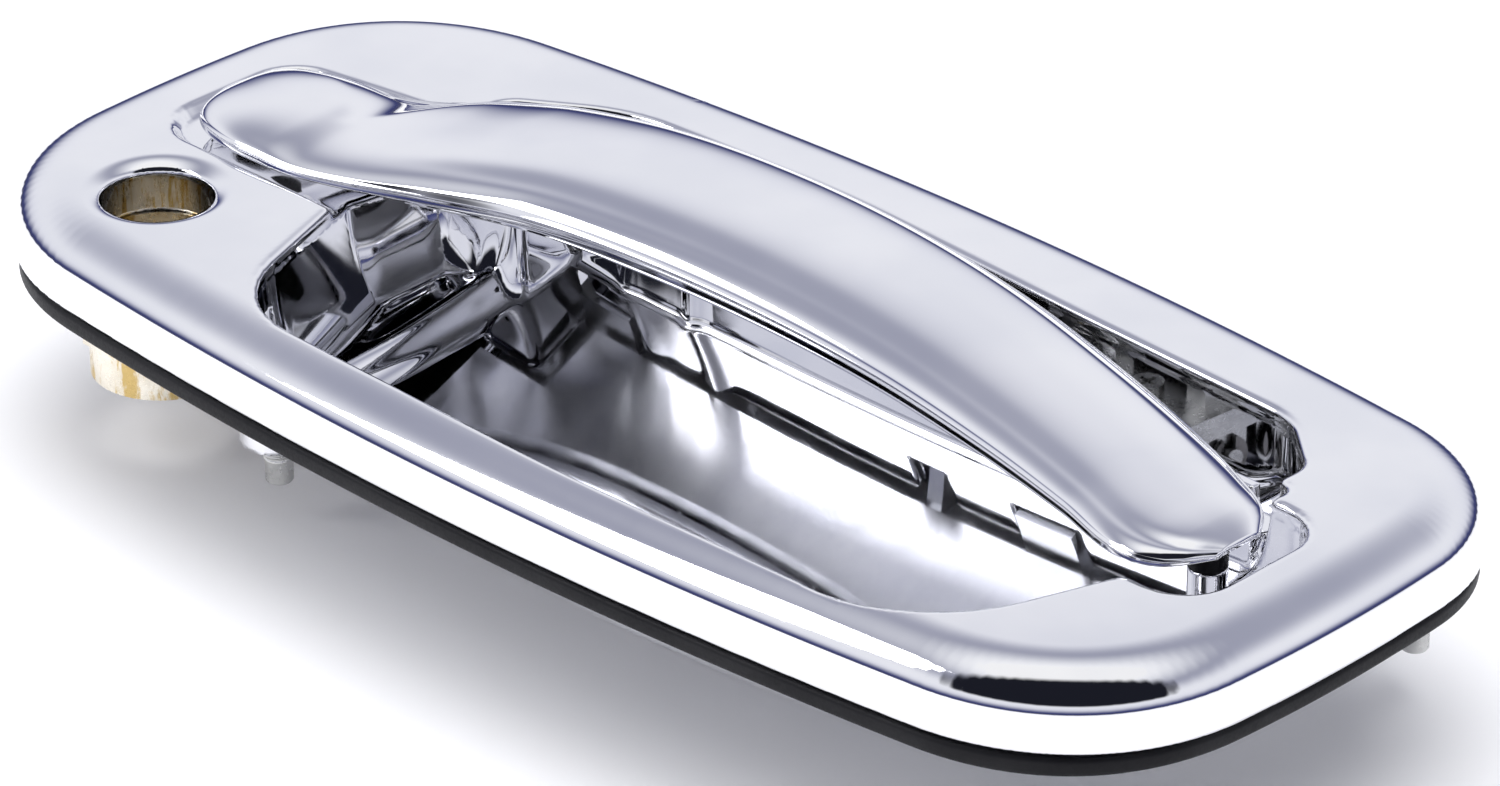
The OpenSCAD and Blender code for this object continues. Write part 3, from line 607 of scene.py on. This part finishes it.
def mirror_chrome():
    """Bright plating on moulded plastic: a near mirror with faint wipe marks and sink."""
    f = Finish("mirror_chrome", Metallic=1.0)
    haze = f.noise(30, 3.0, 0.55)
    wipe = f.noise(1.6, 4.0, 0.6, (0.25, 1, 1))
    sink = f.noise(14, 2.0, 0.4)
    f.feed("Base Color", f.mix(f.spread(haze, 0.3, 0.7), (0.83, 0.835, 0.87), (0.9, 0.9, 0.92)))
    f.feed("Roughness", f.spread(wipe * 0.5 + haze * 0.5, 0.35, 0.75, 0.025, 0.075))
    f.relief(sink, 0.012)
    return f.material


def lock_casting():
    """Unplated die casting, stained golden brown where the plating stops."""
    f = metal("lock_casting", (0.78, 0.72, 0.62), (0.66, 0.58, 0.46), 0.3, 0.1, 0.7, 0.02)
    stain = f.spread(f.noise(3.2, 5.0, 0.65, (1, 1, 0.35)), 0.5, 0.62)
    cloud = f.spread(f.noise(6, 4.0, 0.6), 0.35, 0.65)
    base = f.mix(cloud, (0.92, 0.87, 0.76), (0.80, 0.74, 0.62))
    f.feed("Base Color", f.mix(stain, base, (0.62, 0.45, 0.18)))
    return f.material


CHROME = mirror_chrome()
RUBBER = plastic(
    "gasket_rubber", (0.012, 0.012, 0.014), (0.005, 0.005, 0.007), 0.5, 0.5, 0.02, Specular_IOR_Level=0.18
).material
ZINC = metal("zinc_plate", (0.72, 0.72, 0.70), (0.58, 0.58, 0.57), 0.3, 0.09, 0.6, 0.01).material
YELLOW_PLATE = metal("yellow_plate", (0.80, 0.62, 0.26), (0.62, 0.58, 0.36), 0.3, 0.1, 0.8, 0.01).material
CASTING = lock_casting()
SPRING = metal("oiled_spring", (0.30, 0.29, 0.28), (0.16, 0.155, 0.15), 0.33, 0.08, 0.5, 0.008).material
SATIN = metal("satin_plate", (0.88, 0.885, 0.90), (0.82, 0.825, 0.85), 0.34, 0.06, 0.5, 0.004).material
NYLON = plastic(
    "natural_nylon", (0.82, 0.79, 0.70), (0.72, 0.68, 0.57), 0.4, 0.4, 0.01, Subsurface_Weight=0.1
).material
YELLOW_PLASTIC = plastic("yellow_plastic", (0.84, 0.62, 0.06), (0.70, 0.48, 0.03), 0.36, 0.4, 0.01).material
FLOOR_PAINT = plastic("floor_paint", (0.93, 0.93, 0.94), (0.91, 0.91, 0.92), 0.8, 30, 0.05).material


# ---- Bezel --------------------------------------------------------------------------------

def make_bezel():
    """The bezel's skin, meshed from its field and brought onto the surface."""
    maps = [grid_map(shape) for shape in (OUTLINE, RECESS_LIP, RECESS_FLOOR, WELL, POCKET, SEAT)]
    z_low = bezel_low[2] - 1.5 * GRID
    z_count = int((bezel_high[2] - z_low) / GRID) + 4
    x = MAP_LOW[0] + GRID * np.arange(MAP_SIZE[0])[:, None, None]
    y = MAP_LOW[1] + GRID * np.arange(MAP_SIZE[1])[None, :, None]
    z = z_low + GRID * np.arange(z_count)[None, None, :]
    values = bezel_field([m[:, :, None] for m in maps], x, y, z)

    def field(p):
        return bezel_field(sampled(maps, p[:, 0], p[:, 1]), p[:, 0], p[:, 1], p[:, 2])

    points, quads = surface_net(values)
    points = points * GRID + [MAP_LOW[0], MAP_LOW[1], z_low]
    points, normals = settled(field, points, quads)
    points = np.clip(points, bezel_low, bezel_high)
    return piece("bezel_skin", points, quads, CHROME, "housing", ["bezel"], normals)


# ---- Gasket -------------------------------------------------------------------------------

def inset(points, d):
    """A closed outline moved inwards by d, which may differ from point to point."""
    s = np.roll(points, -1, axis=0) - np.roll(points, 1, axis=0)
    s /= np.linalg.norm(s, axis=1)[:, None]
    return points + np.asarray(d)[..., None] * np.stack([-s[:, 1], s[:, 0]], axis=1)


def make_gasket():
    """A rubber band under the rim, which stands off the bezel a little between the studs."""
    n = len(OUTLINE)
    where = np.arange(n) * 2 * math.pi / n
    wave = 0.35 * np.sin(3 * where + 0.6) + 0.2 * np.sin(7 * where + 2.0)
    near = smooth_step((-OUTLINE[:, 1] - 20) / 30)
    ends = smooth_step((np.abs(OUTLINE[:, 0]) - 90) / 30)
    hang = 0.55 * near + 0.5 * ends * (OUTLINE[:, 0] < 0) + 0.35 * wave
    hang = np.maximum(hang, 0)
    thick = GASKET_TOP - 0.1
    profile = []
    corner, outer, width, corner_steps = 0.8, 0.7, 4.9, 4
    for cx, cz, start in (
        (outer + corner, corner, 180), (outer + width - corner, corner, 270),
        (outer + width - corner, thick - corner, 0), (outer + corner, thick - corner, 90),
    ):
        for k in range(corner_steps + 1):
            a = math.radians(start + 90 * k / corner_steps)
            profile.append((cx + corner * math.cos(a), cz + corner * math.sin(a)))
    rings = []
    for d, z in profile:
        ring = inset(OUTLINE, d + 0.25 * wave)
        rings.append(np.column_stack([ring, z - hang * (1 - 0.4 * z / thick)]))
    rings = np.array(rings).transpose(1, 0, 2)[:, ::-1]
    points, faces = rings_mesh(rings, closed_path=True)
    return piece("gasket_band", points, faces, RUBBER, "housing", ["gasket"])


# ---- Studs --------------------------------------------------------------------------------

def threaded_stud(x, y, top):
    """A stud with a rolled thread and a smooth dog point."""
    tip, dog_l, dog_r, pitch, depth = -20.0, 4.5, 2.25, 1.0, 0.5
    sides, per_pitch = 48, 10
    rings = []
    dog = [(0.0, 1.5), (0.25, 2.0), (0.6, dog_r), (dog_l - 0.4, dog_r), (dog_l, dog_r + 0.2)]
    angles = np.arange(sides) * 2 * math.pi / sides
    for up, r in dog:
        rings.append([(x + r * math.cos(a), y + r * math.sin(a), tip + up) for a in angles])
    turns = int((top - tip - dog_l) / pitch * per_pitch)
    for i in range(1, turns + 1):
        z = tip + dog_l + i * pitch / per_pitch
        ring = []
        for a in angles:
            phase = ((z - tip) / pitch - a / (2 * math.pi)) % 1
            crest = min(1.0, max(0.0, 1.9 * (1 - abs(2 * phase - 1)) - 0.35))
            lead = min(1.0, (z - tip - dog_l) / 1.2)
            r = STUD_R - depth - 0.25 * (1 - lead) + depth * crest * lead
            ring.append((x + r * math.cos(a), y + r * math.sin(a), z))
        rings.append(ring)
    return rings_mesh(rings)


def make_studs():
    """Both studs in one piece, each up into its boss."""
    all_points, all_faces, start = [], [], 0
    for (x, y), top in zip(STUDS, (-9.5, 8.5)):
        points, faces = threaded_stud(x, y, top)
        all_points.append(points)
        all_faces += [tuple(k + start for k in f) for f in faces]
        start += len(points)
    return piece(
        "threaded_studs", np.concatenate(all_points), all_faces, ZINC, "housing",
        ["mounting_studs"],
    )


# ---- Paddle -------------------------------------------------------------------------------

# Along the paddle: x, near edge, far edge and the crown's height over the rim
STATIONS = np.array([
    [-105.5, -5, 2, 1.2], [-102, -12, 8.5, 3], [-94, -15.8, 12, 4.2], [-84, -16.2, 14, 4.1],
    [-77, -15.6, 18, 3.4], [-68, -13, 25.6, 3.9], [-56, -8.6, 31.6, 5.3], [-38, -3, 35.4, 6.8],
    [-15, -0.6, 36.8, 7.6], [10, -0.4, 35.8, 7.6], [35, -2.2, 32, 7], [60, -6.2, 25.6, 5.8],
    [80, -10.6, 19.2, 4.6], [94, -14.4, 13.6, 3.6], [101.5, -12, 9.5, 2.8], [105.5, -5, 4, 1.4],
])
SHELL_WALL = 2.0
SECTION_STEPS = 72
SECTION_POWER = 2 / 2.6
THIN_WALL = 0.8
SADDLE_X = -80


def along(x, column):
    """Smooth value at x through the stations' column."""
    xs, values = STATIONS[:, 0], STATIONS[:, column]
    slopes = np.gradient(values, xs)
    slopes[1:-1] = (values[2:] - values[:-2]) / (xs[2:] - xs[:-2])
    i = min(max(int(np.searchsorted(xs, x)) - 1, 0), len(xs) - 2)
    w = xs[i + 1] - xs[i]
    t = (x - xs[i]) / w
    return (
        values[i] * (2 * t ** 3 - 3 * t * t + 1) + slopes[i] * w * (t ** 3 - 2 * t * t + t)
        + values[i + 1] * (3 * t * t - 2 * t ** 3) + slopes[i + 1] * w * (t ** 3 - t * t)
    )


def paddle_section(x, wall):
    """Half an oval over the rim from the far edge to the near edge, with its bead and lip."""
    near, far, crown = along(x, 1), along(x, 2), along(x, 3)
    middle, half = (near + far) / 2, (far - near) / 2 - wall
    height = crown - wall
    points = []
    for k in range(SECTION_STEPS + 1):
        s = k / SECTION_STEPS
        a = math.pi * s
        c, up = math.cos(a), math.sin(a)
        y = middle + half * math.copysign(abs(c) ** SECTION_POWER, c)
        z = max(up, 0) ** SECTION_POWER * height
        if wall == 0:
            size = min(1.0, half / 12)
            saddle = bump(x - SADDLE_X, 6.5)
            slope = (0.30 + 0.22 * saddle - s) / 0.24
            slope = min(0.5 * (slope + math.sqrt(slope * slope + 0.004)), 1.25)
            z *= 1 - (0.30 + 0.16 * saddle) * slope * size
            bead = 0.35 * bump(s - 0.10, 0.025)
            crease = -0.3 * bump(s - 0.72, 0.05) * smooth_step((x + 70) / 30)
            z += (bead + crease) * size
            steps = 0.16 * math.sin(z / height * 9 * math.pi) * (z < 0.38 * height) * (s > 0.5)
            y -= steps * size
        points.append((x, y, RIM_Z + max(z, 0)))
    return points


def make_paddle_shell():
    """The paddle's hollow shell, with its sections closer together at its ends."""
    x_low, x_high = STATIONS[0, 0], STATIONS[-1, 0]
    at_end = np.array([0, 0.3, 0.7, 1.2, 1.8, 2.6])
    xs = np.concatenate([x_low + at_end, np.arange(x_low + 3.4, x_high - 3.3, 0.9), x_high - at_end[::-1]])
    rings = []
    for x in xs:
        wall = SHELL_WALL if along(x, 3) > SHELL_WALL + 0.6 else THIN_WALL
        outer = paddle_section(x, 0)
        inner = paddle_section(x, wall)
        if x in (xs[0], xs[-1]):
            inner = [(x, p[1], RIM_Z + 0.2) for p in inner]
        rings.append(outer + inner[::-1])
    points, faces = rings_mesh(np.array(rings)[:, ::-1])
    return piece("paddle_skin", points, faces, CHROME, "paddle", ["paddle_shell"])


# ---- Springs ------------------------------------------------------------------------------

def make_return_spring():
    """Coils round the pin, with a leg on the bracket and a leg behind the paddle's finger."""
    turns, steps, r, wire, pitch, x0 = 12.5, 32, 4.4, 0.75, 1.9, -15.0
    path = []
    for i in range(int(turns * steps) + 1):
        a = 2 * math.pi * i / steps
        path.append((x0 + pitch * i / steps, HINGE_Y - r * math.sin(a), HINGE_Z - r * math.cos(a)))
    first, last = np.array(path[0]), np.array(path[-1])
    leg, drop, reach, bend = 9, 0.8, 4.3, 2
    bracket_leg = [first + [0, leg * k / 8, -drop * k / 8] for k in range(8, 0, -1)]
    finger_leg = [last + [0, (reach - bend) * k / 4, 0] for k in range(1, 5)]
    for k in range(1, 7):
        a = math.pi / 2 * k / 6
        finger_leg.append(last + [bend * (1 - math.cos(a)), reach - bend + bend * math.sin(a), 0])
    finger_leg += [last + [bend + (FINGER_X - last[0]) * k / 8, reach, 0] for k in range(1, 9)]
    points, faces = rings_mesh(wire_rings(bracket_leg + path + finger_leg, wire))
    made = piece("torsion_spring", points, faces, SPRING, None, ["return_spring"])
    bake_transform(made)
    return made


# ---- CAD nodes that keep their shape ------------------------------------------------------

NODE_FINISHES = {
    "lock_housing": CASTING, "lock_clip": SPRING, "hinge_bracket": ZINC, "hinge_bracket_screws": ZINC,
    "hinge_pin": ZINC, "pin_clips": SPRING, "pivot_bracket": ZINC, "pivot_bracket_screws": ZINC,
    "lever_pin": ZINC, "lever_clip": SPRING, "lever_spring": SPRING, "paddle_bumpers": RUBBER,
    "paddle_liner": SATIN, "hinge_frame": SATIN, "hinge_bushings": NYLON, "frame_screws": SATIN,
    "finger_sleeve": NYLON, "lever": YELLOW_PLATE, "lever_bush": NYLON, "rod_clip": YELLOW_PLASTIC,
}
SOFT_EDGED = [
    "paddle_liner", "hinge_bracket", "pivot_bracket", "hinge_frame", "lever", "lock_housing", "rod_clip",
]


def finish_nodes():
    """Finishes for the nodes that keep their shape, and broken edges on the SOFT_EDGED ones."""
    for name, finish in NODE_FINISHES.items():
        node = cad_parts[name]
        node.data.materials.clear()
        node.data.materials.append(finish)
        if name in SOFT_EDGED:
            edge = node.modifiers.new("broken_edges", "BEVEL")
            edge.width = 0.25 * MM
            edge.segments = 2
            edge.limit_method = "ANGLE"
            edge.angle_limit = math.radians(50)


# ---- Stage --------------------------------------------------------------------------------

def make_floor():
    size, gap = 4.0, 0.0006
    mesh = bpy.data.meshes.new("floor")
    corners = [(x * size, y * size, cad_low[2] - gap) for x, y in ((-1, -1), (1, -1), (1, 1), (-1, 1))]
    mesh.from_pydata(corners, [], [(0, 1, 2, 3)])
    mesh.materials.append(FLOOR_PAINT)
    made = bpy.data.objects.new("floor", mesh)
    bpy.context.collection.objects.link(made)


def make_camera():
    data = bpy.data.cameras.new("camera")
    data.sensor_width = 36
    data.lens = 199.67
    data.clip_start, data.clip_end = 0.01, 20
    camera = bpy.data.objects.new("camera", data)
    bpy.context.collection.objects.link(camera)
    azimuth, elevation, distance = math.radians(44.25), math.radians(28.69), 1.25
    target = Vector((11.54, -4.36, 8.0)) * MM
    level = math.cos(elevation)
    back = Vector((math.sin(azimuth) * level, -math.cos(azimuth) * level, math.sin(elevation)))
    camera.location = target + back * distance
    camera.rotation_euler = (-back).to_track_quat("-Z", "Y").to_euler()
    bpy.context.scene.camera = camera


def area_light(name, place, width, height, power, in_mirrors):
    """A soft box aimed at the handle; a fill light is kept out of the chrome."""
    data = bpy.data.lights.new(name, "AREA")
    data.shape = "RECTANGLE"
    data.size, data.size_y = width, height
    data.energy = power
    made = bpy.data.objects.new(name, data)
    bpy.context.collection.objects.link(made)
    made.location = place
    made.rotation_euler = Vector(place).to_track_quat("Z", "Y").to_euler()
    made.visible_glossy = in_mirrors


DARK_SIDE = (0.50, -0.58, 0.64)
DARK_COLOUR = (0.012, 0.013, 0.02, 1)


def make_room():
    """A soft white room, dark low down and high on the side that the handle is viewed from."""
    world = bpy.data.worlds.new("studio")
    bpy.context.scene.world = world
    world.use_nodes = True
    tree = world.node_tree

    def node(kind, inputs=(), **settings):
        made = tree.nodes.new(kind)
        for name, value in settings.items():
            setattr(made, name, value)
        for key, value in inputs:
            if isinstance(value, bpy.types.NodeSocket):
                tree.links.new(value, made.inputs[key])
            else:
                made.inputs[key].default_value = value
        return made

    way = node("ShaderNodeTexCoord").outputs["Generated"]
    height = node("ShaderNodeSeparateXYZ", [(0, way)]).outputs["Z"]
    ramp = node("ShaderNodeValToRGB", [(0, height)])
    stops = [
        (0.0, (0.07, 0.075, 0.15)), (0.10, (0.13, 0.14, 0.26)), (0.24, (0.70, 0.71, 0.79)),
        (0.44, (0.88, 0.89, 0.94)), (0.60, (0.72, 0.73, 0.80)), (0.78, (0.38, 0.39, 0.48)),
        (0.90, (0.78, 0.79, 0.84)), (1.0, (1.15, 1.15, 1.15)),
    ]
    ramp.color_ramp.interpolation = "CARDINAL"
    while len(ramp.color_ramp.elements) < len(stops):
        ramp.color_ramp.elements.new(0.5)
    for element, (place, colour) in zip(ramp.color_ramp.elements, stops):
        element.position = place
        element.color = (*colour, 1)
    toward = node("ShaderNodeVectorMath", [(0, way), (1, DARK_SIDE)], operation="DOT_PRODUCT")
    around, above = (
        node(
            "ShaderNodeMapRange", [("Value", value), ("From Min", low), ("From Max", high)],
            interpolation_type="SMOOTHSTEP",
        ).outputs[0]
        for value, low, high in ((toward.outputs["Value"], 0.66, 0.76), (height, 0.36, 0.46))
    )
    shade = node("ShaderNodeMath", [(0, around), (1, above)], operation="MULTIPLY").outputs[0]
    mix = node("ShaderNodeMix", [("Factor", shade), (6, ramp.outputs[0])], data_type="RGBA")
    mix.inputs[7].default_value = DARK_COLOUR
    background = next(n for n in tree.nodes if n.type == "BACKGROUND")
    tree.links.new(mix.outputs[2], background.inputs[0])
    area_light("overhead_fill", (0.1, 0.1, 1.6), 2.0, 2.0, 32, False)
    area_light("front_box", (-0.75, -0.9, 0.95), 0.5, 0.9, 7, True)
    bpy.context.scene.view_settings.view_transform = "Standard"


make_bezel()
make_gasket()
make_studs()
make_paddle_shell()
make_return_spring()
finish_nodes()
make_floor()
make_camera()
make_room()
